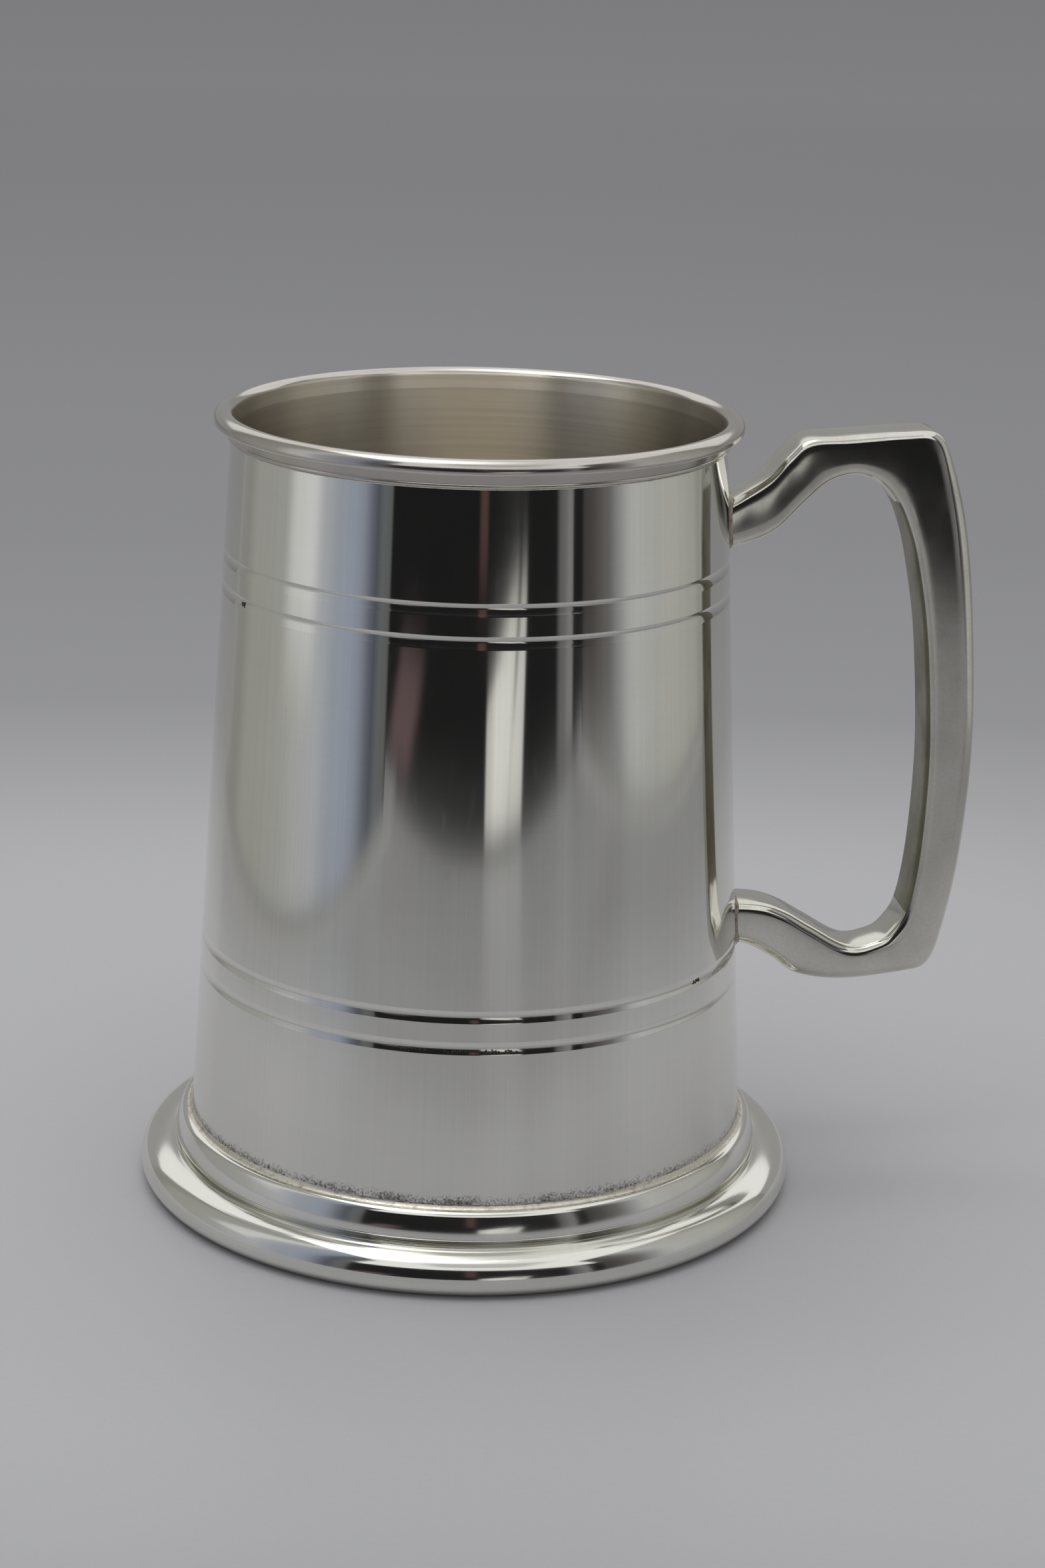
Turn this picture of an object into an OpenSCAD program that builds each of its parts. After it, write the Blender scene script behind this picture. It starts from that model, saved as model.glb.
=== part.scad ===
// Straight-sided one-pint tankard: a tapered drum with a moulded lip, a stepped foot and a cast bar handle.
// The origin is on the drum's axis, on the table. +Z is up and the handle points along +X.

/* [Drum] */
// Outer radius of the drum where it enters the foot
drum_foot_r = 44.7; // [43.8:0.1:45]
// Outer radius of the drum under the lip
drum_lip_r = 38.4; // [38:0.1:39]
// Thickness of the drum's wall
wall = 1.6; // [1.2:0.1:2]
// Height of the tankard
height = 125.6; // [121:0.2:132]

/* [Grooves] */
// Width of each turned groove
groove_w = 1.9; // [1.2:0.1:2.4]
// Depth of each turned groove
groove_d = 0.16; // [0.05:0.01:0.3]
// Distance between the two grooves of a pair
groove_pitch = 4.9; // [3.5:0.1:6]
// Height of the middle of the upper pair
upper_pair_z = 100.9; // [88:0.1:101]
// Height of the middle of the lower pair
lower_pair_z = 39.2; // [30:0.1:50]

/* [Lip] */
// Outer radius of the lip
lip_r = 41; // [40.5:0.1:42]
// How far the small bead at the foot of the lip's neck stands out from the drum
band_out = 0.45; // [0.4:0.05:0.6]
// How far the top of the neck stands out from the drum, close under the lip
neck_out = 0.75; // [0.65:0.05:0.9]

/* [Foot] */
// Largest radius of the foot
foot_r = 53; // [52.6:0.1:55]
// Thickness of the floor
floor_t = 1.8; // [1.2:0.1:2.5]
// Flat width of the ring that stands on the table
seat_w = 1.7; // [1:0.1:3]

/* [Handle] */
// Width of the bar at the grip
grip_w = 10; // [8:0.1:14]
// Width of the bar at its two ends
root_w = 9.2; // [8:0.1:10]
// Size of the worn edges of the bar
edge_w = 1.4; // [0.6:0.1:2]

/* [Solder] */
// Height of the solder bead round each end of the handle
bead_h = 0.9; // [0.5:0.1:1.2]
// Width of the solder fillets at the floor and the foot
fillet_w = 0.8; // [0.4:0.1:1]
// Width of the thin solder fillet under the lip
lip_fillet_w = 0.2; // [0.1:0.05:0.3]

/* [Hidden] */
$fn = 96;
round_fn = 180;

// The foot's top, and the ledge inside it that the drum and the floor stand on
foot_top_z = 11.4;
ledge_z = 9.4;
ledge_in = 0.4;
// Round stretches of the foot's outside, from the top down. Each is
// [how far its middle lies inside foot_r, height of its middle, radius, first angle, last angle]
foot_arcs = [
    [7.6, 10.3, 1.1, 90, 25],           // rounded top edge of the step
    [16.03, 6.37, 10.4, 25, 6],         // bowed face of the step
    [6.034, 7.42, 0.35, 6, -75],        // lower edge of the step, turning in to the groove
    [6.15, 6.86, 0.17, 100, 260],       // bottom of the groove
    [4.66, 0.6, 6.1, 97, 62],           // crest of the lower moulding
    [3.243, 3.279, 3.07, 62, 24.5],     // its shoulder
    [5.636, 2.188, 5.7, 24.5, 12],      // its bulging side
    [2.79, 2.79, 2.79, 12, -90]         // its rounded edge at the table
];
edge_r = foot_arcs[7][2];
// Wall of the hollow under the foot, from the seat up: [distance inside the seat, height]
hollow_wall = [[0, 0], [0.8, 0.8], [1.6, 3.4]];
// Lip: the drum's top edge, the neck's foot and bead, the sharp lower edge and the rounded shoulders
drum_top_z = height - 3.2;
band_z = height - 4.5;
neck_bead_r = 0.4;
arris_z = height - 2.2;
arris_w = 0.3;
lip_round = 1.5;
inner_round = 1.3;
mouth_r = lip_r - 3;
// The drum's taper, and its radius at any height
taper = (drum_foot_r - drum_lip_r) / (drum_top_z - foot_top_z);
function drum_r(z) = drum_foot_r - taper * (z - foot_top_z);
function bore_r(z) = drum_r(z) - wall;

// Points on an arc of radius r round [x, z], from angle a0 to a1 in n steps
function arc(x, z, r, a0, a1, n) =
    [for (i = [0:n]) let (a = a0 + (a1 - a0) * i / n) [x + r * cos(a), z + r * sin(a)]];

// ---- Drum ----
groove_steps = 6;
function groove(z) =
    [for (i = [0:groove_steps])
        let (u = 2 * i / groove_steps - 1, h = z + u * groove_w / 2) [drum_r(h) - groove_d * (1 - u * u), h]];
function groove_pair(z) = concat(groove(z - groove_pitch / 2), groove(z + groove_pitch / 2));

module drum() {
    outside = concat([[drum_r(ledge_z), ledge_z]], groove_pair(lower_pair_z), groove_pair(upper_pair_z),
                     [[drum_r(drum_top_z), drum_top_z]]);
    inside = [[bore_r(drum_top_z), drum_top_z], [bore_r(ledge_z), ledge_z]];
    color("silver") rotate_extrude($fn = round_fn) polygon(concat(outside, inside));
}

// ---- Lip: a rebated ring that sits on the drum's top edge, its beaded neck lapping outside ----
module lip_ring() {
    bead_z = band_z + neck_bead_r;
    bead = arc(drum_r(bead_z) + band_out - neck_bead_r, bead_z, neck_bead_r, -90, 50, 6);
    neck = [[drum_r(arris_z) + neck_out, arris_z], [lip_r - arris_w, arris_z]];
    shoulder = arc(lip_r - lip_round, height - lip_round, lip_round, -20, 90, 9);
    mouth = arc(mouth_r + inner_round, height - inner_round, inner_round, 90, 180, 6);
    rebate = [[bore_r(drum_top_z), drum_top_z], [drum_r(drum_top_z), drum_top_z]];
    color("gainsboro") rotate_extrude($fn = round_fn)
        polygon(concat([[drum_r(band_z), band_z]], bead, neck, shoulder, mouth, rebate));
}

// A solder fillet on the drum's outside, w wide, above (side 1) or below (side -1) the corner at height z
module wall_fillet(z, w, side) {
    rotate_extrude($fn = round_fn)
        polygon([[drum_r(z), z], [drum_r(z) + w, z], [drum_r(z + side * w / 3) + w / 3, z + side * w / 3],
                 [drum_r(z + side * w), z + side * w]]);
}

module lip_solder() {
    color("darkgray") wall_fillet(band_z, lip_fillet_w, -1);
}

// ---- Foot: a cast ring with an upper step, a groove and a broad rounded lower moulding ----
module foot_ring() {
    seat_in = foot_r - edge_r - seat_w;
    throat_r = bore_r(ledge_z) + ledge_in;
    socket = [[drum_r(ledge_z), ledge_z], [drum_r(foot_top_z), foot_top_z]];
    outside = [for (a = foot_arcs) each arc(foot_r - a[0], a[1], a[2], a[3], a[4], 6)];
    hollow = [for (p = hollow_wall) [seat_in - p[0], p[1]]];
    throat = [[throat_r + 0.8, ledge_z - 3], [throat_r, ledge_z - 1.6], [throat_r, ledge_z]];
    color("silver") rotate_extrude($fn = round_fn) polygon(concat(socket, outside, hollow, throat));
}

module foot_solder() {
    color("darkgray") wall_fillet(foot_top_z, fillet_w, 1);
}

// ---- Floor: a disc inside the drum's lower end, held by a fillet of solder ----
floor_top_z = ledge_z + floor_t;

module floor_disc() {
    color("silver") rotate_extrude($fn = round_fn)
        polygon([[0, ledge_z], [bore_r(ledge_z), ledge_z],
                 [bore_r(floor_top_z), floor_top_z], [0, floor_top_z]]);
}

module floor_solder() {
    z = floor_top_z;
    color("darkgray") rotate_extrude($fn = round_fn)
        polygon([[bore_r(z), z], [bore_r(z) - fillet_w, z], [bore_r(z) - fillet_w / 3, z + fillet_w / 3],
                 [bore_r(z + fillet_w), z + fillet_w]]);
}

// ---- Handle: a bar swept between its outer and its inner line ----
// Pairs along the two lines from the upper root to the lower: [outer x, outer z, inner x, inner z]
bar_line = [
    [37, 110.7, 37, 104.2], [41.5, 113.3, 41.5, 105], [45.4, 116, 46.5, 107.2], [48.3, 119.4, 51, 111.7],
    [51.2, 121.8, 54.8, 115], [57, 122.3, 59, 116.1], [66.5, 123, 62.8, 114.7], [71.8, 122.7, 65.4, 111.9],
    [74.4, 118.1, 67.2, 108.2], [77.5, 106.7, 69, 102.1], [79.5, 90.6, 71.2, 89.6], [80.5, 71.4, 72.6, 71.4],
    [79.5, 53.8, 72.2, 55.3], [77.3, 40.7, 70.8, 45], [75.2, 35, 68.6, 40.7], [71.3, 33.5, 66, 38.9],
    [61, 32.3, 61.5, 38.4], [53.5, 33.4, 55.5, 41.7], [48.8, 36.5, 50.8, 44.4], [44, 38.8, 46, 45.8],
    [37, 39.2, 37, 46.1]
];
steps = 3;
last = len(bar_line) - 1;

// A smooth curve through the pairs: the stretch from pair i to pair i + 1, at t from 0 to 1
function pair(i) = bar_line[max(0, min(last, i))];
function smooth(i, t) =
    let (a = pair(i - 1), b = pair(i), c = pair(i + 1), d = pair(i + 2))
    b + t / 2 * (c - a + t * (2 * a - 5 * b + 4 * c - d + t * (3 * (b - c) + d - a)));
bar_stations = concat([for (i = [0:last - 1], k = [0:steps - 1]) smooth(i, k / steps)], [pair(last)]);

// Corner of the bar's section: [share of the edge along the thickness, share along the width]
round_corner = [[0, 1], [0.29, 0.29], [1, 0]];
corners = len(round_corner);
section_points = 4 * corners;

// One section of the bar, share of the way along it, with its four corners rounded
function bar_section(s, share) =
    let (o = [s[0], s[1]], i = [s[2], s[3]], t = norm(o - i), e = (o - i) / t,
         half = (root_w + (grip_w - root_w) * sin(180 * share)) / 2)
    [for (q = [0:3], k = [0:corners - 1])
        let (p = round_corner[q % 2 == 0 ? k : corners - 1 - k], far = q == 1 || q == 2,
             u = far ? t - p[0] * edge_w : p[0] * edge_w,
             y = (q < 2 ? -1 : 1) * (half - p[1] * edge_w))
        [i[0] + e[0] * u, y, i[1] + e[1] * u]];

module bar() {
    n = len(bar_stations);
    m = section_points;
    points = [for (s = [0:n - 1]) each bar_section(bar_stations[s], s / (n - 1))];
    skin = [for (s = [0:n - 2], k = [0:m - 1])
        let (a = s * m + k, b = s * m + (k + 1) % m) each [[a, b, b + m], [a, b + m, a + m]]];
    ends = [[for (k = [m - 1:-1:0]) k], [for (k = [0:m - 1]) (n - 1) * m + k]];
    polyhedron(points, concat(skin, ends));
}

// The drum's outside without its grooves, grown by a given amount
module drum_plug(grow) {
    rotate_extrude($fn = round_fn)
        polygon([[0, 0], [drum_r(0) + grow, 0], [drum_r(height) + grow, height], [0, height]]);
}

module handle() {
    color("lightgray") difference() {
        bar();
        drum_plug(0);
    }
}

// ---- Solder beads round the handle's two ends ----
// Heights that each end covers on the drum: [lowest, highest]
upper_root = [104.7, 112.9];
lower_root = [38.9, 46];
bead_block = 14;

module root_bead(span) {
    inset = edge_w - bead_h;
    color("darkgray") difference() {
        intersection() {
            translate([drum_lip_r - 4, 0, 0]) rotate([90, 0, 90]) linear_extrude(bead_block) hull() {
                for (y = [-1, 1] * (root_w / 2 - inset), z = [span[0] + inset, span[1] - inset])
                    translate([y, z]) circle(edge_w, $fn = 32);
            }
            drum_plug(bead_h);
        }
        drum_plug(0);
        bar();
    }
}

module upper_handle_solder() {
    root_bead(upper_root);
}

module lower_handle_solder() {
    root_bead(lower_root);
}

drum();
lip_ring();
lip_solder();
foot_ring();
foot_solder();
floor_disc();
floor_solder();
handle();
upper_handle_solder();
lower_handle_solder();
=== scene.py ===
import math
import random

import bmesh
import bpy
from mathutils import Matrix, Vector, noise


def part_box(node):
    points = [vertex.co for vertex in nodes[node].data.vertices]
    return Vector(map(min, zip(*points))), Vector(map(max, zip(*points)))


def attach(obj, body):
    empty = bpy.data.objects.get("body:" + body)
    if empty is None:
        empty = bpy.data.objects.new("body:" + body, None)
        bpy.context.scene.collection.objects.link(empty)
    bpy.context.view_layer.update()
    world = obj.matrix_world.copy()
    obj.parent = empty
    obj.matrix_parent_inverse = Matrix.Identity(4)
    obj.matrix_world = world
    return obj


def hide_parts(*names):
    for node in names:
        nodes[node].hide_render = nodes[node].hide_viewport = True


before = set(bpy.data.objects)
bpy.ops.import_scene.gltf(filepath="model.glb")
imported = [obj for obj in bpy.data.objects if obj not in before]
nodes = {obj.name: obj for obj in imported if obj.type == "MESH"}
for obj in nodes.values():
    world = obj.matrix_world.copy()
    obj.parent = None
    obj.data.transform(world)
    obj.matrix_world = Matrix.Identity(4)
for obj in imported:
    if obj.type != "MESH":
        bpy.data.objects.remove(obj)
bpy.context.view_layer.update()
mm = 0.001
print("frame loaded:", ", ".join(sorted(nodes)))


# ---------- what every piece needs ----------

def ringRadii(node, z, reach=0.02 * mm):
    # smallest and largest radius that a turned CAD part has at one height
    radii = [math.hypot(v.co.x, v.co.y) for v in nodes[node].data.vertices if abs(v.co.z - z) < reach]
    return min(radii), max(radii)


def arcPoints(x, z, radius, start, end, steps=14):
    # round stretch of an outline, angles in degrees
    turns = [math.radians(start + (end - start) * i / steps) for i in range(steps + 1)]
    return [(x + radius * math.cos(t), z + radius * math.sin(t)) for t in turns]


def withGuards(points, gap=0.07 * mm):
    # a long straight stretch gets a point close to each end, so that its shading stays straight
    out = []
    for (ax, az), (bx, bz) in zip(points, points[1:]):
        out.append((ax, az))
        length = math.hypot(bx - ax, bz - az)
        if length > 5 * gap:
            for share in (gap / length, 1 - gap / length):
                out.append((ax + (bx - ax) * share, az + (bz - az) * share))
    return out + [points[-1]]


def curveFrom(name, points, closed=False):
    # an outline in the XZ plane, laid in X and Y, as the lathe tree wants it
    data = bpy.data.curves.new(name, "CURVE")
    data.dimensions = "3D"
    spline = data.splines.new("POLY")
    spline.points.add(len(points) - 1)
    for target, (x, z) in zip(spline.points, points):
        target.co = (x, -z, 0, 1)      # the sweep carries Y downwards
    spline.use_cyclic_u = closed
    obj = bpy.data.objects.new(name, data)
    bpy.context.scene.collection.objects.link(obj)
    return obj


def plainMesh(obj, name):
    # the evaluated object as an ordinary mesh, its modifiers gone
    bpy.context.view_layer.update()
    evaluated = obj.evaluated_get(bpy.context.evaluated_depsgraph_get())
    mesh = bpy.data.meshes.new_from_object(evaluated)
    mesh.name = name
    return mesh


def addPiece(name, mesh, slot, *stoodFor):
    obj = bpy.data.objects.new(name, mesh)
    bpy.context.scene.collection.objects.link(obj)
    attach(obj, "root")
    if stoodFor:
        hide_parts(*stoodFor)
    return obj


def tidyMesh(mesh, sharpAngle=32, merge=0.0005 * mm):
    work = bmesh.new()
    work.from_mesh(mesh)
    bmesh.ops.remove_doubles(work, verts=work.verts, dist=merge)
    bmesh.ops.dissolve_degenerate(work, edges=work.edges, dist=merge)
    bmesh.ops.recalc_face_normals(work, faces=work.faces)
    work.to_mesh(mesh)
    work.free()
    mesh.shade_smooth()
    mesh.set_sharp_from_angle(angle=math.radians(sharpAngle))
    return mesh


# ---------- node helpers ----------

def addNode(tree, kind, **settings):
    node = tree.nodes.new(kind)
    for key, value in settings.items():
        setattr(node, key, value)
    return node


def mathNode(tree, operation, *values, clamp=False):
    node = addNode(tree, "ShaderNodeMath", operation=operation, use_clamp=clamp)
    for i, value in enumerate(values):
        plug(tree, value, node.inputs[i])
    return node.outputs[0]


def plug(tree, value, socket):
    # links a socket, or sets a plain value
    if isinstance(value, bpy.types.NodeSocket):
        tree.links.new(value, socket)
    else:
        socket.default_value = value


def rangeNode(tree, value, lowIn, highIn, lowOut=0.0, highOut=1.0, smooth=True):
    node = addNode(tree, "ShaderNodeMapRange", interpolation_type="SMOOTHSTEP" if smooth else "LINEAR")
    for i, v in enumerate((value, lowIn, highIn, lowOut, highOut)):
        plug(tree, v, node.inputs[i])
    return node.outputs[0]


def noiseNode(tree, vector, scale, detail=3.0, roughness=0.55, stretch=None, seed=0.0):
    if stretch is not None or seed:
        mapping = addNode(tree, "ShaderNodeMapping")
        tree.links.new(vector, mapping.inputs["Vector"])
        mapping.inputs["Scale"].default_value = stretch or (1, 1, 1)
        mapping.inputs["Location"].default_value = (seed, seed * 0.7, seed * 1.3)
        vector = mapping.outputs[0]
    node = addNode(tree, "ShaderNodeTexNoise")
    tree.links.new(vector, node.inputs["Vector"])
    node.inputs["Scale"].default_value = scale
    node.inputs["Detail"].default_value = detail
    node.inputs["Roughness"].default_value = roughness
    return node.outputs[0]


def mixColor(tree, factor, a, b, blend="MIX"):
    node = addNode(tree, "ShaderNodeMix", data_type="RGBA", blend_type=blend)
    plug(tree, factor, node.inputs[0])
    plug(tree, a, node.inputs[6])
    plug(tree, b, node.inputs[7])
    return node.outputs[2]


def rgba(color):
    return (*color, 1.0)


def startMaterial(name):
    material = bpy.data.materials.new(name)
    material.use_nodes = True
    tree = material.node_tree
    shader = tree.nodes["Principled BSDF"]
    coords = addNode(tree, "ShaderNodeTexCoord").outputs["Object"]
    split = addNode(tree, "ShaderNodeSeparateXYZ")
    tree.links.new(coords, split.inputs[0])
    return material, tree, shader, coords, split


def bumpChain(tree, shader, layers):
    # layers of (height socket, strength, distance in metres), each on the one before
    normal = None
    for height, strength, distance in layers:
        bump = addNode(tree, "ShaderNodeBump")
        bump.inputs["Strength"].default_value = strength
        bump.inputs["Distance"].default_value = distance
        tree.links.new(height, bump.inputs["Height"])
        if normal:
            tree.links.new(normal, bump.inputs["Normal"])
        normal = bump.outputs[0]
    tree.links.new(normal, shader.inputs["Normal"])


def brushRound(tree, shader, anisotropy):
    # highlights drawn out across the turning marks
    tangent = addNode(tree, "ShaderNodeTangent", direction_type="RADIAL", axis="Z")
    tree.links.new(tangent.outputs[0], shader.inputs["Tangent"])
    shader.inputs["Anisotropic"].default_value = anisotropy
    shader.inputs["Anisotropic Rotation"].default_value = 0.25


# ---------- finishes ----------

turnedLook = dict(
    color=(0.795, 0.79, 0.75), warmth=(0.77, 0.76, 0.71), roughness=(0.06, 0.09), anisotropy=0.8,
    markScale=1700, markDepth=0.0006 * mm, scuffDepth=0.0004 * mm,
    dirt=(0.055, 0.042, 0.032), dirtHeight=1.9 * mm, dirtRoughness=0.55)


def turnedPewter(name, look, dirtZ=None, streaks=1.0):
    # polished on the lathe: fine rings, faint upright streaks, scuffs, and dirt left above a seam
    material, tree, shader, coords, split = startMaterial(name)
    shader.inputs["Metallic"].default_value = 1.0
    rings = noiseNode(tree, coords, 1.0, 2.0, 0.6, (9, 9, look["markScale"]))
    fineRings = noiseNode(tree, coords, 1.0, 1.0, 0.5, (30, 30, look["markScale"] * 2.4), 4.0)
    angle = mathNode(tree, "ARCTAN2", split.outputs[1], split.outputs[0])
    around = addNode(tree, "ShaderNodeCombineXYZ")
    tree.links.new(angle, around.inputs[0])
    tree.links.new(split.outputs[2], around.inputs[2])
    upright = noiseNode(tree, around.outputs[0], 1.0, 4.0, 0.75, (80, 1, 5))
    blotch = noiseNode(tree, coords, 42.0, 3.0, 0.5)
    scuff = noiseNode(tree, coords, 1.0, 2.0, 0.5, (900, 900, 120), 9.0)

    tint = mixColor(tree, rangeNode(tree, blotch, 0.35, 0.75), rgba(look["color"]), rgba(look["warmth"]))
    streak = rangeNode(tree, upright, 0.25, 0.75, 1.0 - 0.035 * streaks, 1.0 + 0.02 * streaks)
    ringTone = rangeNode(tree, rings, 0.2, 0.8, 0.99, 1.005)
    tone = mathNode(tree, "MULTIPLY", streak, ringTone)
    toned = mixColor(tree, 1.0, tint, tone, "MULTIPLY")
    rough = rangeNode(tree, blotch, 0.3, 0.7, *look["roughness"])
    rough = mathNode(tree, "ADD", rough, rangeNode(tree, scuff, 0.6, 0.85, 0.0, 0.02))
    if dirtZ is not None:
        grain = noiseNode(tree, coords, 2600.0, 2.0, 0.7)
        patch = noiseNode(tree, coords, 190.0, 3.0, 0.6)
        above = mathNode(tree, "SUBTRACT", split.outputs[2], dirtZ)
        near = rangeNode(tree, above, look["dirtHeight"], 0.0)
        reach = mathNode(tree, "MULTIPLY", near, rangeNode(tree, patch, 0.3, 0.7, 0.45, 1.0))
        speck = mathNode(tree, "ADD", reach, rangeNode(tree, grain, 0.3, 0.7, -0.75, 0.35, False), clamp=True)
        edge = rangeNode(tree, above, look["dirtHeight"], look["dirtHeight"] * 0.6, 0.0, 0.85)
        dirt = mathNode(tree, "MULTIPLY", speck, edge)
        toned = mixColor(tree, dirt, toned, rgba(look["dirt"]))
        rough = mathNode(tree, "ADD", rough, mathNode(tree, "MULTIPLY", dirt, look["dirtRoughness"]))
    tree.links.new(toned, shader.inputs["Base Color"])
    tree.links.new(rough, shader.inputs["Roughness"])
    bumpChain(tree, shader, [(rings, 0.5, look["markDepth"]), (fineRings, 0.4, look["markDepth"] * 0.5),
                             (scuff, 0.25, look["scuffDepth"])])
    brushRound(tree, shader, look["anisotropy"])
    return material


satinLook = dict(color=(0.86, 0.795, 0.68), shade=(0.81, 0.745, 0.63), roughness=(0.29, 0.33),
                 anisotropy=0.88,
                 markScale=1500, markDepth=0.002 * mm)


def satinPewter(name, look):
    # turned but not polished: even rings and a soft sheen
    material, tree, shader, coords, split = startMaterial(name)
    shader.inputs["Metallic"].default_value = 1.0
    rings = noiseNode(tree, coords, 1.0, 3.0, 0.65, (14, 14, look["markScale"]))
    blotch = noiseNode(tree, coords, 60.0, 4.0, 0.6)
    tint = mixColor(tree, rangeNode(tree, blotch, 0.3, 0.7), rgba(look["color"]), rgba(look["shade"]))
    toned = mixColor(tree, 1.0, tint, rangeNode(tree, rings, 0.2, 0.8, 0.90, 1.05), "MULTIPLY")
    if "paintedSideShade" in look:
        # painted shade: the bore's two sides are darkened in the colour, since the satin sends back too much
        # light there
        xx, yy = [mathNode(tree, "MULTIPLY", split.outputs[i], split.outputs[i]) for i in (0, 1)]
        side = mathNode(tree, "DIVIDE", xx, mathNode(tree, "ADD", xx, yy))
        toned = mixColor(tree, 1.0, toned, rangeNode(tree, side, 0.35, 0.95, 1.0, look["paintedSideShade"]),
                         "MULTIPLY")
    tree.links.new(toned, shader.inputs["Base Color"])
    tree.links.new(rangeNode(tree, blotch, 0.3, 0.7, *look["roughness"]), shader.inputs["Roughness"])
    bumpChain(tree, shader, [(rings, 0.6, look["markDepth"])])
    brushRound(tree, shader, look["anisotropy"])
    return material


castLook = dict(color=(0.71, 0.70, 0.645), shade=(0.63, 0.61, 0.54), roughness=(0.10, 0.15),
                waveDepth=0.007 * mm, fileDepth=0.001 * mm, grainDepth=0.0004 * mm)


def castPewter(name, look):
    # a casting dressed by hand: low waves, file marks across the bar, fine grain
    material, tree, shader, coords, split = startMaterial(name)
    shader.inputs["Metallic"].default_value = 1.0
    wave = noiseNode(tree, coords, 130.0, 2.0, 0.4)
    files = noiseNode(tree, coords, 1.0, 2.0, 0.5, (160, 60, 700), 2.0)
    grain = noiseNode(tree, coords, 2400.0, 3.0, 0.6)
    blotch = noiseNode(tree, coords, 95.0, 4.0, 0.6, seed=5.0)
    tint = mixColor(tree, rangeNode(tree, blotch, 0.35, 0.75), rgba(look["color"]), rgba(look["shade"]))
    toned = mixColor(tree, 1.0, tint, rangeNode(tree, grain, 0.25, 0.75, 0.94, 1.03), "MULTIPLY")
    rough = rangeNode(tree, blotch, 0.3, 0.75, *look["roughness"])
    tree.links.new(toned, shader.inputs["Base Color"])
    tree.links.new(rough, shader.inputs["Roughness"])
    bumpChain(tree, shader, [(wave, 0.5, look["waveDepth"]), (files, 0.5, look["fileDepth"]),
                             (grain, 0.4, look["grainDepth"])])
    return material


solderLook = dict(color=(0.60, 0.55, 0.48), dark=(0.20, 0.15, 0.12), roughness=(0.22, 0.5),
                  grainDepth=0.03 * mm)


def solderFinish(name, look):
    # dull solder with pits and a brown film of old flux
    material, tree, shader, coords, split = startMaterial(name)
    shader.inputs["Metallic"].default_value = 1.0
    grain = noiseNode(tree, coords, 2300.0, 3.0, 0.65)
    film = noiseNode(tree, coords, 620.0, 4.0, 0.6, seed=3.0)
    tone = mixColor(tree, rangeNode(tree, film, 0.50, 0.78), rgba(look["color"]), rgba(look["dark"]))
    tree.links.new(tone, shader.inputs["Base Color"])
    tree.links.new(rangeNode(tree, grain, 0.3, 0.7, *look["roughness"]), shader.inputs["Roughness"])
    bumpChain(tree, shader, [(grain, 0.7, look["grainDepth"])])
    return material


residueLook = dict(color=(0.030, 0.026, 0.020), pale=(0.16, 0.14, 0.10), roughness=(0.45, 0.8))


def residueFinish(name, look):
    # dried polish and tarnish lodged in a groove
    material, tree, shader, coords, split = startMaterial(name)
    shader.inputs["Metallic"].default_value = 0.25
    grain = noiseNode(tree, coords, 3200.0, 3.0, 0.7)
    tone = mixColor(tree, rangeNode(tree, grain, 0.5, 0.8), rgba(look["color"]), rgba(look["pale"]))
    tree.links.new(tone, shader.inputs["Base Color"])
    tree.links.new(rangeNode(tree, grain, 0.3, 0.7, *look["roughness"]), shader.inputs["Roughness"])
    bumpChain(tree, shader, [(grain, 0.8, 0.02 * mm)])
    return material


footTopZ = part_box("foot_ring")[1].z
polished = turnedPewter("polishedPewter", turnedLook, dirtZ=footTopZ + 0.75 * mm)
footPolished = turnedPewter("footPewter", dict(turnedLook, markScale=2600, markDepth=0.0011 * mm,
                                               anisotropy=0.5,
                                               roughness=(0.09, 0.13)), streaks=0.5)
satin = satinPewter("satinPewter", satinLook)
# the bore's satin carries painted shade on its two sides
boreSatin = satinPewter("boreSatin", dict(satinLook, paintedSideShade=0.42))
cast = castPewter("castPewter", castLook)
# the as-cast finish is rougher than the dressed one, and its dark colour is partly painted shade
rawCastAndShade = castPewter("rawCastPewterAndShade", dict(castLook, color=(0.31, 0.295, 0.23), shade=(0.22, 0.21, 0.155),
                                           roughness=(0.34, 0.46), grainDepth=0.004 * mm))
lipPewter = satinPewter("lipPewter", dict(satinLook, color=(0.63, 0.60, 0.56), shade=(0.58, 0.55, 0.51),
                                          roughness=(0.15, 0.20), anisotropy=0.6, markDepth=0.0008 * mm))
ringSolder = solderFinish("ringSolder", dict(solderLook, color=(0.74, 0.70, 0.62), dark=(0.36, 0.31, 0.25)))
handleSolder = solderFinish("handleSolder", dict(solderLook, color=(0.44, 0.36, 0.32),
                                                 dark=(0.13, 0.10, 0.085)))
residue = residueFinish("grooveResidue", residueLook)
print("finishes made")


# ---------- the lathe ----------

latheCore = 10 * mm          # radius of the circle that the outline is carried round


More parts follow.
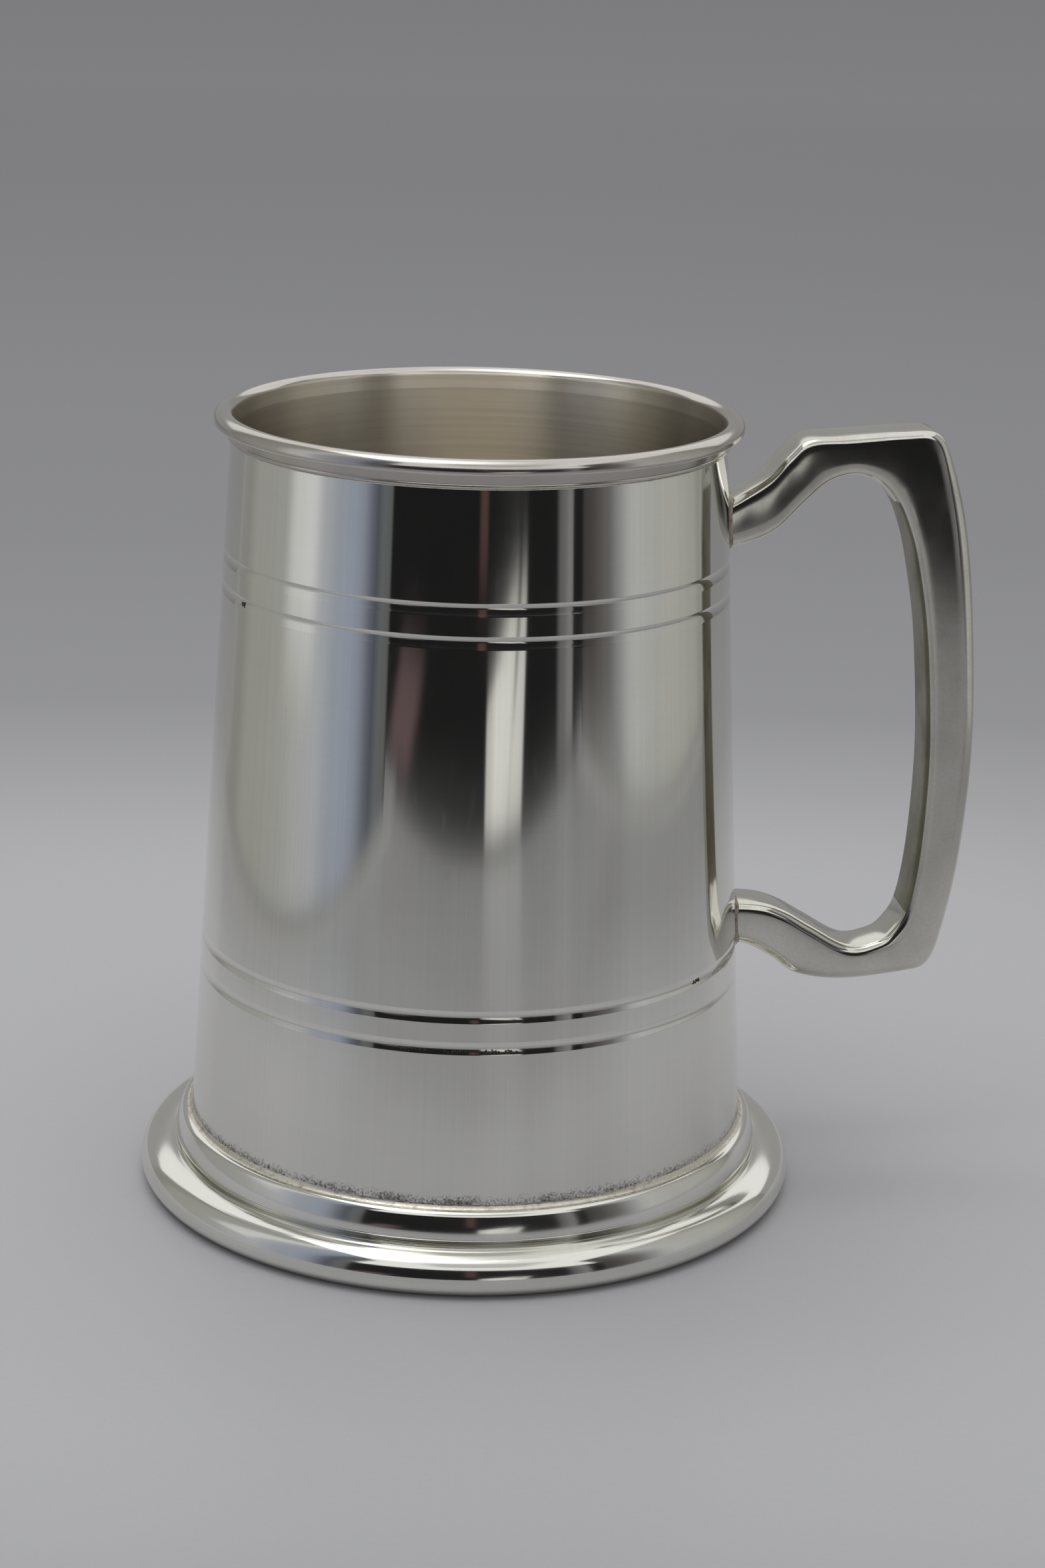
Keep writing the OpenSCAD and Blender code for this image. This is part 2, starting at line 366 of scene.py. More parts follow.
def latheTree():
    # turns the outline of a curve object round Z
    tree = bpy.data.node_groups.new("turnOnLathe", "GeometryNodeTree")
    face = tree.interface
    face.new_socket("Outline", in_out="INPUT", socket_type="NodeSocketObject")
    steps = face.new_socket("Steps Round", in_out="INPUT", socket_type="NodeSocketInt")
    steps.default_value = 256
    face.new_socket("Finish", in_out="INPUT", socket_type="NodeSocketMaterial")
    face.new_socket("Geometry", in_out="OUTPUT", socket_type="NodeSocketGeometry")
    given = addNode(tree, "NodeGroupInput")
    result = addNode(tree, "NodeGroupOutput")
    outline = addNode(tree, "GeometryNodeObjectInfo", transform_space="ORIGINAL")
    circle = addNode(tree, "GeometryNodeCurvePrimitiveCircle", mode="RADIUS")
    circle.inputs["Radius"].default_value = latheCore
    shift = addNode(tree, "GeometryNodeTransform")
    shift.inputs["Translation"].default_value = (-latheCore, 0, 0)
    sweep = addNode(tree, "GeometryNodeCurveToMesh")
    realize = addNode(tree, "GeometryNodeRealizeInstances")
    finish = addNode(tree, "GeometryNodeSetMaterial")
    link = tree.links.new
    link(given.outputs["Outline"], outline.inputs["Object"])
    link(given.outputs["Steps Round"], circle.inputs["Resolution"])
    link(circle.outputs["Curve"], sweep.inputs["Curve"])
    link(outline.outputs["Geometry"], shift.inputs["Geometry"])
    link(shift.outputs["Geometry"], sweep.inputs["Profile Curve"])
    link(sweep.outputs["Mesh"], realize.inputs["Geometry"])
    link(realize.outputs["Geometry"], finish.inputs["Geometry"])
    link(given.outputs["Finish"], finish.inputs["Material"])
    link(finish.outputs["Geometry"], result.inputs["Geometry"])
    return tree


lathe = latheTree()


def setInput(modifier, tree, name, value):
    socket = next(s for s in tree.interface.items_tree if s.name == name and s.in_out == "INPUT")
    modifier[socket.identifier] = value


def turned(name, points, material, steps=256, closed=True, sharpAngle=32):
    outline = curveFrom(name + "Outline", points, closed)
    holder = bpy.data.objects.new(name + "Blank", bpy.data.meshes.new(name + "Blank"))
    bpy.context.scene.collection.objects.link(holder)
    modifier = holder.modifiers.new("lathe", "NODES")
    modifier.node_group = lathe
    setInput(modifier, lathe, "Outline", outline)
    setInput(modifier, lathe, "Steps Round", steps)
    setInput(modifier, lathe, "Finish", material)
    mesh = plainMesh(holder, name)
    bpy.data.objects.remove(holder)
    bpy.data.objects.remove(outline)
    return tidyMesh(mesh, sharpAngle)


# ---------- drum ----------

drumLow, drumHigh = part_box("drum")
boreLow, outerLow = ringRadii("drum", drumLow.z)
boreHigh, outerHigh = ringRadii("drum", drumHigh.z)
taper = (outerLow - outerHigh) / (drumHigh.z - drumLow.z)
wallT = outerHigh - boreHigh


def drumR(z):
    return outerLow - taper * (z - drumLow.z)


def boreR(z):
    return drumR(z) - wallT


drumLook = dict(
    grooveWidth=1.9 * mm, grooveDepth=0.16 * mm,
    grooves=(29.8 * mm - 2.45 * mm, 29.8 * mm + 2.45 * mm, 91.5 * mm - 2.45 * mm, 91.5 * mm + 2.45 * mm),
    flare=0.95 * mm, flareDepth=16 * mm, steps=256)


def grooveShare(u):
    # section of a turned groove: a steeper upper side and a gentler lower one
    return (1 - u * u) * (1 + 0.28 * u)


def drumOutline():
    outside = [(drumR(drumLow.z), drumLow.z)]
    half = drumLook["grooveWidth"] / 2
    for height in drumLook["grooves"]:
        middle = drumLow.z + height
        for i in range(13):
            u = i / 6 - 1
            z = middle + u * half
            outside.append((drumR(z) - drumLook["grooveDepth"] * grooveShare(u), z))
    outside.append((drumR(drumHigh.z), drumHigh.z))
    guarded = withGuards(outside)
    # the bore opens a little towards the lip
    flare = []
    for i in range(9):
        share = i / 8
        z = drumHigh.z - drumLook["flareDepth"] * share
        flare.append((boreR(z) + drumLook["flare"] * (1 - share) ** 2, z))
    return guarded + flare + [(boreR(drumLow.z), drumLow.z)]


drumMesh = turned("drumShell", drumOutline(), polished, drumLook["steps"])
drumMesh.materials.append(boreSatin)
for face in drumMesh.polygons:
    radius = math.hypot(face.center.x, face.center.y)
    if radius < drumR(face.center.z) - wallT * 0.2:
        face.material_index = 1
drumPiece = addPiece("drum", drumMesh, "polished_pewter", "drum")
print("drum turned:", len(drumMesh.polygons), "faces")


# ---------- lip ----------

lipLow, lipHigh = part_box("lip_ring")
lipR = lipHigh.x
lipLook = dict(bandOut=0.45 * mm, neckOut=0.75 * mm, beadR=0.4 * mm, arrisDrop=2.2 * mm, arrisWidth=0.3 * mm,
               outerRound=1.5 * mm, innerRound=1.3 * mm, landWidth=3.0 * mm, steps=288)


def lipOutline():
    look = lipLook
    beadZ = lipLow.z + look["beadR"]
    arrisZ = lipHigh.z - look["arrisDrop"]
    mouthR = lipR - look["landWidth"]
    bead = arcPoints(drumR(beadZ) + look["bandOut"] - look["beadR"], beadZ, look["beadR"], -90, 50, 10)
    neck = [(drumR(arrisZ) + look["neckOut"], arrisZ), (lipR - look["arrisWidth"], arrisZ)]
    shoulder = arcPoints(lipR - look["outerRound"], lipHigh.z - look["outerRound"], look["outerRound"],
                         -20, 90, 16)
    mouth = arcPoints(mouthR + look["innerRound"], lipHigh.z - look["innerRound"], look["innerRound"],
                      90, 180, 12)
    seat = [(boreR(drumHigh.z) + drumLook["flare"], drumHigh.z), (drumR(drumHigh.z), drumHigh.z)]
    return withGuards([(drumR(lipLow.z), lipLow.z)] + bead + neck + shoulder + mouth + seat)


lipMesh = turned("lipRing", lipOutline(), lipPewter, lipLook["steps"])
lipMesh.materials.append(boreSatin)
for face in lipMesh.polygons:
    inside = math.hypot(face.center.x, face.center.y) < lipR - lipLook["landWidth"] + 0.12 * mm
    face.material_index = 1 if inside else 0
lipPiece = addPiece("lip", lipMesh, "satin_pewter", "lip_ring")


# ---------- foot ----------

footLow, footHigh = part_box("foot_ring")
footR = footHigh.x
footLook = dict(
    # [how far the middle lies in from the foot's edge, its height, radius, first angle, last angle], mm
    arcs=((7.6, 10.3, 1.1, 90, 25), (16.03, 6.37, 10.4, 25, 6), (6.034, 7.42, 0.35, 6, -75),
          (6.15, 6.86, 0.17, 100, 260), (4.66, 0.6, 6.1, 97, 62), (3.243, 3.279, 3.07, 62, 24.5),
          (5.636, 2.188, 5.7, 24.5, 12), (2.79, 2.79, 2.79, 12, -90)),
    seatInset=4.49, hollow=((0, 0), (0.8, 0.8), (1.6, 3.4)), ledgeInset=0.4,
    throat=((0.8, -3.0), (0, -1.6), (0, 0)), steps=320)


def footOutline():
    look = footLook
    ledgeZ = drumLow.z
    points = [(drumR(ledgeZ), ledgeZ), (drumR(footHigh.z), footHigh.z)]
    for inset, z, radius, start, end in look["arcs"]:
        points += arcPoints(footR - inset * mm, z * mm, radius * mm, start, end, 10)
    points += [(footR - (look["seatInset"] + dx) * mm, dz * mm) for dx, dz in look["hollow"]]
    throatR = boreR(ledgeZ) + look["ledgeInset"] * mm
    points += [(throatR + dx * mm, ledgeZ + dz * mm) for dx, dz in look["throat"]]
    return withGuards(points)


footMesh = turned("footRing", footOutline(), footPolished, footLook["steps"])
footPiece = addPiece("foot", footMesh, "foot_pewter", "foot_ring")


# ---------- floor inside ----------

discLow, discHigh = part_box("floor_disc")


def discOutline():
    # a shallow raised boss, as left by the lathe's centre, is under a tenth of a millimetre deep
    rings = [(0, discHigh.z - 0.02 * mm), (3 * mm, discHigh.z - 0.08 * mm), (9 * mm, discHigh.z)]
    return rings + [(boreR(discHigh.z), discHigh.z), (boreR(discLow.z), discLow.z), (0, discLow.z)]


discMesh = turned("floorDisc", discOutline(), satin, 192, closed=False)
discPiece = addPiece("floorDisc", discMesh, "satin_pewter", "floor_disc")


# ---------- solder fillets ----------

filletLook = dict(footWidth=0.8 * mm, floorWidth=0.8 * mm, lipWidth=0.2 * mm, wobble=0.10, lumps=46,
                  steps=384)


def filletOutline(corner, along, across, width, steps=7):
    # concave fillet between two walls that meet at corner
    cx, cz = corner
    points = []
    for i in range(steps + 1):
        t = i / steps
        a, b = width * (1 - t) ** 1.6, width * t ** 1.6
        points.append((cx + along[0] * a + across[0] * b, cz + along[1] * a + across[1] * b))
    return [corner] + points


def roughen(mesh, corner, amount, lumps, seed):
    # run of the solder: swells and thins a little round the seam, and never grows past its width
    for v in mesh.vertices:
        angle = math.atan2(v.co.y, v.co.x)
        radius = math.hypot(v.co.x, v.co.y)
        spot = Vector((math.cos(angle) * lumps / 6, math.sin(angle) * lumps / 6, seed + v.co.z * 900))
        shrink = 1 - amount * (0.5 + 0.5 * noise.noise(spot)) - amount * abs(noise.noise(spot * 5))
        newR = corner[0] + (radius - corner[0]) * shrink
        v.co.x, v.co.y = math.cos(angle) * newR, math.sin(angle) * newR
        v.co.z = corner[1] + (v.co.z - corner[1]) * shrink
    return mesh


def filletPiece(name, node, corner, along, across, width, material, seed):
    outline = filletOutline(corner, along, across, width)
    mesh = turned(name, outline, material, filletLook["steps"], sharpAngle=50)
    roughen(mesh, corner, filletLook["wobble"], filletLook["lumps"], seed)
    tidyMesh(mesh, 50)
    return addPiece(name, mesh, "solder", node)


up = (-taper, 1.0)
filletPiece("footSolder", "foot_solder", (drumR(footHigh.z), footHigh.z), (1, 0), up, filletLook["footWidth"],
            ringSolder, 1.0)
filletPiece("floorSolder", "floor_solder", (boreR(discHigh.z), discHigh.z), (-1, 0), up,
            filletLook["floorWidth"],
            ringSolder, 2.0)
filletPiece("lipSolder", "lip_solder", (drumR(lipLow.z), lipLow.z), (1, 0), (taper, -1.0),
            filletLook["lipWidth"],
            ringSolder, 3.0)
print("rings, floor and solder fillets turned")


# ---------- handle ----------

barLow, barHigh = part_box("handle")
handleLook = dict(
    # pairs along the outer and inner lines, from the upper root to the lower, mm
    line=((37, 110.7, 37, 104.2), (41.5, 113.3, 41.5, 105), (45.4, 116, 46.5, 107.2),
          (48.3, 119.4, 51, 111.7), (51.2, 121.8, 54.8, 115), (57, 122.3, 59, 116.1),
          (66.5, 123, 62.8, 114.7), (71.8, 122.7, 65.4, 111.9), (74.4, 118.1, 67.2, 108.2),
          (77.5, 106.7, 69, 102.1), (79.5, 90.6, 71.2, 89.6), (80.5, 71.4, 72.6, 71.4),
          (79.5, 53.8, 72.2, 55.3), (77.3, 40.7, 70.8, 45), (75.2, 35, 68.6, 40.7),
          (71.3, 33.5, 66, 38.9), (61, 32.3, 61.5, 38.4), (53.5, 33.4, 55.5, 41.7),
          (48.8, 36.5, 50.8, 44.4), (44, 38.8, 46, 45.8), (37, 39.2, 37, 46.1)),
    rootWidth=9.2, gripWidth=10.0, outerRound=(1.15, 2.1), innerRound=1.5, crown=0.16, wave=0.035, steps=9,
    cornerSteps=5, sideSteps=5)


def smoothPair(line, i, t):
    a, b, c, d = (Vector(line[max(0, min(len(line) - 1, i + k))]) for k in (-1, 0, 1, 2))
    return b + t / 2 * (c - a + t * (2 * a - 5 * b + 4 * c - d + t * (3 * (b - c) + d - a)))


def outerRoundAt(share):
    # the top arm keeps a crisp edge, the grip is rubbed round
    tight, soft = handleLook["outerRound"]
    k = min(1.0, max(0.0, (share - 0.30) / 0.16))
    return tight + (soft - tight) * k * k * (3 - 2 * k)


def barSection(station, share):
    look = handleLook
    outer, inner = Vector((station[0], 0, station[1])), Vector((station[2], 0, station[3]))
    thick = (outer - inner).length
    across = (outer - inner) / thick
    half = (look["rootWidth"] + (look["gripWidth"] - look["rootWidth"]) * math.sin(math.pi * share)) / 2
    ro, ri = outerRoundAt(share), look["innerRound"]
    n = look["cornerSteps"]
    side = []
    for u, radius, first in ((ri, ri, 270), (thick - ro, ro, 180)):
        for k in range(n + 1):
            turn = math.radians(first - 90 * k / n)
            side.append((u + radius * math.sin(turn), -(half - radius) + radius * math.cos(turn)))
        if first == 270:
            for k in range(1, look["sideSteps"]):
                side.append((ri + (thick - ro - ri) * k / look["sideSteps"], -half))
    ring = []
    for h, y in side + [(h, -y) for h, y in reversed(side)]:
        # the broad sides are crowned, and the whole casting is slightly uneven
        crown = look["crown"] * (2 * h / thick - 1) ** 2
        y -= math.copysign(min(crown, abs(y) * 0.05), y)
        wave = look["wave"] * (noise.noise(Vector((share * 24, y * 0.16, h * 0.16))) - 0.6)
        middle = inner + across * (thick / 2)
        point = inner + across * h + Vector((0, y, 0))
        ring.append((point + (point - middle).normalized() * wave) * mm)
    return ring


def pushOut(point, radius):
    # keeps the bar's ends in the drum's wall and out of the bore
    r = math.hypot(point.x, point.y)
    if r >= radius:
        return point
    return Vector((point.x * radius / r, point.y * radius / r, point.z))


barGrip = (44.0, 112.0)       # heights between which the grip's inner face is left as cast, mm


def barMiddle(z):
    # x of the grip's middle line at height z, mm
    line = [((a + c) / 2, (b + d) / 2) for a, b, c, d in handleLook["line"][8:15]]
    for (x0, z0), (x1, z1) in zip(line, line[1:]):
        if z1 <= z <= z0:
            return x0 + (x1 - x0) * (z0 - z) / (z0 - z1)
    return line[0][0] if z > line[0][1] else line[-1][0]


def insideWall(ring):
    return all(math.hypot(p.x, p.y) < drumR(p.z) - 0.25 * wallT for p in ring)


def makeHandle():
    line = handleLook["line"]
    stations = [smoothPair(line, i, k / handleLook["steps"])
                for i in range(len(line) - 1) for k in range(handleLook["steps"])] + [Vector(line[-1])]
    rings = [barSection(s, i / (len(stations) - 1)) for i, s in enumerate(stations)]
    rings = [[pushOut(p, drumR(p.z) - wallT * 0.5) for p in ring] for ring in rings]
    # rings that lie wholly inside the wall are dropped, but for the last before the drum's face
    first = max(i for i in range(len(rings) // 2) if insideWall(rings[i]))
    final = min(i for i in range(len(rings) // 2, len(rings)) if insideWall(rings[i]))
    rings = rings[first:final + 1]
    work = bmesh.new()
    made = [[work.verts.new(p) for p in ring] for ring in rings]
    count = len(made[0])
    for a, b in zip(made, made[1:]):
        for k in range(count):
            work.faces.new((a[k], a[(k + 1) % count], b[(k + 1) % count], b[k]))
    work.faces.new(made[0])
    work.faces.new(list(reversed(made[-1])))
    mesh = bpy.data.meshes.new("handleBar")
    work.to_mesh(mesh)
    work.free()
    tidyMesh(mesh, 60)
    mesh.materials.append(cast)
    mesh.materials.append(rawCastAndShade)
    # the face towards the drum is left as it was cast, rougher, and its darker colour is partly painted
    # shade, where it faces the drum
    for face in mesh.polygons:
        middle = barMiddle(face.center.z / mm)
        reachIn = face.center.x / mm < middle and abs(face.normal.y) < 0.7
        grip = barGrip[0] < face.center.z / mm < barGrip[1] and face.center.x / mm > 60
        face.material_index = 1 if reachIn and grip else 0
    return mesh


handleMesh = makeHandle()
handlePiece = addPiece("handle", handleMesh, "cast_pewter", "handle")
print("handle swept:", len(handleMesh.polygons), "faces; CAD handle",
      [round(v / mm, 2) for v in (*barLow, *barHigh)])


# ---------- solder round the handle's roots ----------

rootLook = dict(width=0.88, ragged=0.22, pointsRound=150,
                drop=dict(upperRootSolder=0.75, lowerRootSolder=0.15))


def rootLoop(rootZ):
    # closed line where the bar meets the drum: rounded rectangle on the drum's face
    low, high = rootZ
    half, r = handleLook["rootWidth"] / 2, 1.5
    corners = ((half - r, high - r, 0), (-half + r, high - r, 90), (-half + r, low + r, 180),
               (half - r, low + r, 270))
    loop = []
    for cy, cz, start in corners:
        for k in range(9):
            turn = math.radians(start + 90 * k / 8)
            loop.append(Vector((cy + r * math.cos(turn), cz + r * math.sin(turn))))
    return evenly(loop, rootLook["pointsRound"])


def evenly(loop, count):
    # the closed line again, with points at even spacing
    closed = loop + [loop[0]]
    lengths = [(b - a).length for a, b in zip(closed, closed[1:])]
    total, out, walked, i = sum(lengths), [], 0.0, 0
    for k in range(count):
        target = total * k / count
        while walked + lengths[i] < target:
            walked += lengths[i]
            i += 1
        out.append(closed[i].lerp(closed[i + 1], (target - walked) / lengths[i]))
    return out


def makeRoot(name, rootZ, seed):
    loop = rootLoop(rootZ)
    n = len(loop)
    work = bmesh.new()
    rings = []
    for i, p in enumerate(loop):
        along = (loop[(i + 1) % n] - loop[i - 1]).normalized()
        away = Vector((along.y, -along.x))
        spot = Vector((p.x * 0.5, p.y * 0.5, seed))
        w = rootLook["width"] * (1 - rootLook["ragged"] * (0.5 + 0.5 * noise.noise(spot * 2.2)))
        w *= 1 + rootLook["drop"][name] * math.exp(-((p.y - rootZ[0]) / 0.8) ** 2 - (p.x / 2.6) ** 2)
        section = ((-0.55, -0.35), (-0.55, w * 0.98), (-0.12, w * 0.93), (0.05, w * 0.62), (0.2, w * 0.4),
                   (0.42, w * 0.2), (w * 0.75, w * 0.07), (w, 0.0), (w, -0.3))
        ring = []
        for off, rise in section:
            q = p + away * off
            z = q.y * mm
            radius = drumR(z) + rise * mm
            y = q.x * mm
            ring.append(work.verts.new((math.sqrt(radius * radius - y * y), y, z)))
        rings.append(ring)
    m = len(rings[0])
    for i in range(n):
        a, b = rings[i], rings[(i + 1) % n]
        for k in range(m):
            work.faces.new((a[k], a[(k + 1) % m], b[(k + 1) % m], b[k]))
    mesh = bpy.data.meshes.new(name)
    work.to_mesh(mesh)
    work.free()
    tidyMesh(mesh, 70)
    mesh.materials.append(handleSolder)
    return mesh


for name, node, margin, seed in (("upperRootSolder", "upper_handle_solder", 1.0, 4.0),
                                 ("lowerRootSolder", "lower_handle_solder", 1.0, 9.0)):
    low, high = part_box(node)
    span = (low.z / mm + rootLook["width"], high.z / mm - rootLook["width"])
    addPiece(name, makeRoot(name, span, seed), "solder", node)
print("handle roots soldered")


# ---------- residue in the grooves ----------

fleckLook = dict(
    # [groove, first and last azimuth in degrees, share across the groove, flecks]
    runs=((2, -159.7, -158.0, 0.1, 46), (0, -110, -104, 0.42, 22), (0, -101, -86, 0.45, 60),
          (1, -42, -39.5, 0.2, 20)),
    size=(0.12 * mm, 0.36 * mm), height=0.05 * mm, seed=11)


def scatterTree():
    # puts flecks at the points of a guide mesh, sized at random and turned to face out along the normal
    tree = bpy.data.node_groups.new("lodgedFlecks", "GeometryNodeTree")
    face = tree.interface
    face.new_socket("Geometry", in_out="INPUT", socket_type="NodeSocketGeometry")
    for name, kind in (("Fleck", "NodeSocketObject"), ("Smallest", "NodeSocketFloat"),
                       ("Largest", "NodeSocketFloat"),
                       ("Seed", "NodeSocketInt"), ("Finish", "NodeSocketMaterial")):
        face.new_socket(name, in_out="INPUT", socket_type=kind)
    face.new_socket("Geometry", in_out="OUTPUT", socket_type="NodeSocketGeometry")
    given, result = addNode(tree, "NodeGroupInput"), addNode(tree, "NodeGroupOutput")
    fleck = addNode(tree, "GeometryNodeObjectInfo", transform_space="ORIGINAL")
    place = addNode(tree, "GeometryNodeInstanceOnPoints")
    size = addNode(tree, "FunctionNodeRandomValue", data_type="FLOAT")
    align = addNode(tree, "FunctionNodeAlignRotationToVector", axis="Z")
    normal = addNode(tree, "GeometryNodeInputNormal")
    realize = addNode(tree, "GeometryNodeRealizeInstances")
    finish = addNode(tree, "GeometryNodeSetMaterial")
    link = tree.links.new
    link(given.outputs["Geometry"], place.inputs["Points"])
    link(given.outputs["Fleck"], fleck.inputs["Object"])
    link(fleck.outputs["Geometry"], place.inputs["Instance"])
    link(given.outputs["Smallest"], size.inputs[2])
    link(given.outputs["Largest"], size.inputs[3])
    link(given.outputs["Seed"], size.inputs["Seed"])
    link(size.outputs[1], place.inputs["Scale"])
    link(normal.outputs[0], align.inputs["Vector"])
    link(align.outputs[0], place.inputs["Rotation"])
    link(place.outputs["Instances"], realize.inputs["Geometry"])
    link(realize.outputs["Geometry"], finish.inputs["Geometry"])
    link(given.outputs["Finish"], finish.inputs["Material"])
    link(finish.outputs["Geometry"], result.inputs["Geometry"])
    return tree


def makeFleck():
    # one crumb: a flattened, lopsided ball, one unit wide
    work = bmesh.new()
    bmesh.ops.create_icosphere(work, subdivisions=2, radius=0.5)
    for v in work.verts:
        v.co *= 1 + 0.5 * noise.noise(v.co * 3.1)
        v.co.z *= 0.4
    mesh = bpy.data.meshes.new("fleck")
    work.to_mesh(mesh)
    work.free()
    mesh.shade_smooth()
    obj = bpy.data.objects.new("fleck", mesh)
    bpy.context.scene.collection.objects.link(obj)
    return obj


def makeResidue():
    look = fleckLook
    rng = random.Random(look["seed"])
    work = bmesh.new()
    half = drumLook["grooveWidth"] / 2
    for groove, start, end, share, count in look["runs"]:
        for _ in range(count):
            angle = math.radians(rng.uniform(start, end))
            u = max(-0.9, min(0.9, -share + rng.gauss(0, 0.13)))
            z = drumLow.z + drumLook["grooves"][groove] + u * half
            radius = drumR(z) - drumLook["grooveDepth"] * grooveShare(u)
            # a tiny triangle on the groove's face carries the crumb's direction
            middle = Vector((radius * math.cos(angle), radius * math.sin(angle), z))
            out = Vector((math.cos(angle), math.sin(angle), 0))
            side = Vector((-math.sin(angle), math.cos(angle), 0))
            tiny = 0.001 * mm
            corners = [work.verts.new(middle + side * tiny * c + Vector((0, 0, tiny * s)))
                       for c, s in ((1, 0), (-1, 0), (0, 1))]
            made = work.faces.new(corners)
            made.normal_update()
            if made.normal.dot(out) < 0:
                made.normal_flip()
    mesh = bpy.data.meshes.new("residueGuide")
    work.to_mesh(mesh)
    work.free()
    guide = bpy.data.objects.new("residueGuide", mesh)
    bpy.context.scene.collection.objects.link(guide)
    fleck = makeFleck()
    tree = scatterTree()
    modifier = guide.modifiers.new("flecks", "NODES")
    modifier.node_group = tree
    setInput(modifier, tree, "Fleck", fleck)
    setInput(modifier, tree, "Smallest", look["size"][0])
    setInput(modifier, tree, "Largest", look["size"][1])
    setInput(modifier, tree, "Seed", look["seed"])
    setInput(modifier, tree, "Finish", residue)
    made = plainMesh(guide, "grooveResidue")
    bpy.data.objects.remove(guide)
    bpy.data.objects.remove(fleck)
    return made


addPiece("grooveResidue", makeResidue(), "polished_pewter")
print("residue laid in the grooves")


# ---------- studio ----------

handleSwing = 0.108   # how far the handle is swung away from square-on, radians
toModel = Matrix.Rotation(-handleSwing, 4, "Z")


def emission(name, build):
    # a lit card's finish; build(tree, coords, split) gives its colour socket
    material = bpy.data.materials.new(name)
    material.use_nodes = True
    tree = material.node_tree
    tree.nodes.remove(tree.nodes["Principled BSDF"])
    out = tree.nodes["Material Output"]
    glow = addNode(tree, "ShaderNodeEmission")
    coords = addNode(tree, "ShaderNodeTexCoord").outputs["Object"]
    split = addNode(tree, "ShaderNodeSeparateXYZ")
    tree.links.new(coords, split.inputs[0])
    tree.links.new(build(tree, coords, split), glow.inputs["Color"])
    tree.links.new(glow.outputs[0], out.inputs["Surface"])
    return material


def ramp(tree, value, stops, low=0.0, high=1.0):
    # stops are (place, colour) with place between low and high
    node = addNode(tree, "ShaderNodeValToRGB")
    share = rangeNode(tree, value, low, high, smooth=False)
    tree.links.new(share, node.inputs[0])
    elements = node.color_ramp.elements
    while len(elements) > 1:
        elements.remove(elements[-1])
    for i, (place, color) in enumerate(stops):
        spot = (place - low) / (high - low)
        element = elements[0] if i == 0 else elements.new(spot)
        element.position = spot
        element.color = rgba(color)
    return node.outputs[0]


def card(name, corners, material, glossyOnly=True):
    # flat card in the studio's own axes: x right, y away from the camera, z up
    mesh = bpy.data.meshes.new(name)
    mesh.from_pydata([Vector(c) for c in corners], [], [tuple(range(len(corners)))])
    mesh.materials.append(material)
    obj = bpy.data.objects.new(name, mesh)
    bpy.context.scene.collection.objects.link(obj)
    obj.matrix_world = toModel
    if glossyOnly:
        obj.visible_camera = False
        obj.visible_diffuse = False
        obj.visible_shadow = False
        obj.visible_transmission = False
        obj.visible_volume_scatter = False
    return obj


def gray(v, tint=(1, 1, 1)):
    return tuple(v * t for t in tint)


def band(tree, value, low, high, soft):
    rise = rangeNode(tree, value, mathNode(tree, "SUBTRACT", low, soft), mathNode(tree, "ADD", low, soft))
    fall = rangeNode(tree, value, mathNode(tree, "SUBTRACT", high, soft), mathNode(tree, "ADD", high, soft),
                     1.0, 0.0)
    return mathNode(tree, "MULTIPLY", rise, fall)


def leftPanel(tree, coords, split):
    # bluish towards the camera, with one brighter fold higher up
    along = ramp(tree, split.outputs[1], (
        (-0.33, gray(0.03)), (-0.32, gray(0.12)), (-0.285, (0.13, 0.14, 0.155)),
        (-0.262, (0.085, 0.095, 0.11)),
        (-0.24, (0.14, 0.15, 0.19)), (-0.21, (0.26, 0.285, 0.35)), (-0.18, (0.31, 0.345, 0.43)),
        (-0.14, (0.33, 0.36, 0.42)), (-0.10, (0.43, 0.445, 0.475)), (-0.06, (0.42, 0.425, 0.43)),
        (-0.03, (0.375, 0.38, 0.37)), (0.03, (0.345, 0.35, 0.33)), (0.09, (0.335, 0.34, 0.32)),
        (0.13, (0.27, 0.27, 0.255)), (0.155, (0.27, 0.27, 0.26)), (0.19, (0.31, 0.31, 0.30))), -0.34, 0.2)
    fold = mathNode(tree, "MULTIPLY", band(tree, split.outputs[1], -0.088, -0.018, 0.016),
                    rangeNode(tree, split.outputs[2], 0.035, 0.075, 0.0, 0.22))
    return mixColor(tree, 1.0, along, fold, "ADD")


def rightPanel(tree, coords, split):
    along = ramp(tree, split.outputs[1], (
        (-0.36, gray(0.02)), (-0.35, gray(0.05)), (-0.30, (0.075, 0.068, 0.065)),
        (-0.26, (0.115, 0.108, 0.106)),
        (-0.225, (0.15, 0.15, 0.152)), (-0.19, (0.28, 0.285, 0.29)), (-0.15, (0.43, 0.435, 0.44)),
        (-0.12, (0.475, 0.48, 0.48)), (-0.05, (0.435, 0.44, 0.43)), (0.02, (0.44, 0.44, 0.415)),
        (0.08, (0.40, 0.40, 0.375)), (0.135, (0.36, 0.36, 0.335)), (0.165, (0.29, 0.29, 0.27)),
        (0.21, (0.22, 0.22, 0.205))), -0.37, 0.22)
    low = rangeNode(tree, split.outputs[2], 0.0, 0.03, 0.09, 0.0)
    lift = mathNode(tree, "MULTIPLY", low, band(tree, split.outputs[1], -0.36, -0.21, 0.02))
    return mixColor(tree, 1.0, along, lift, "ADD")


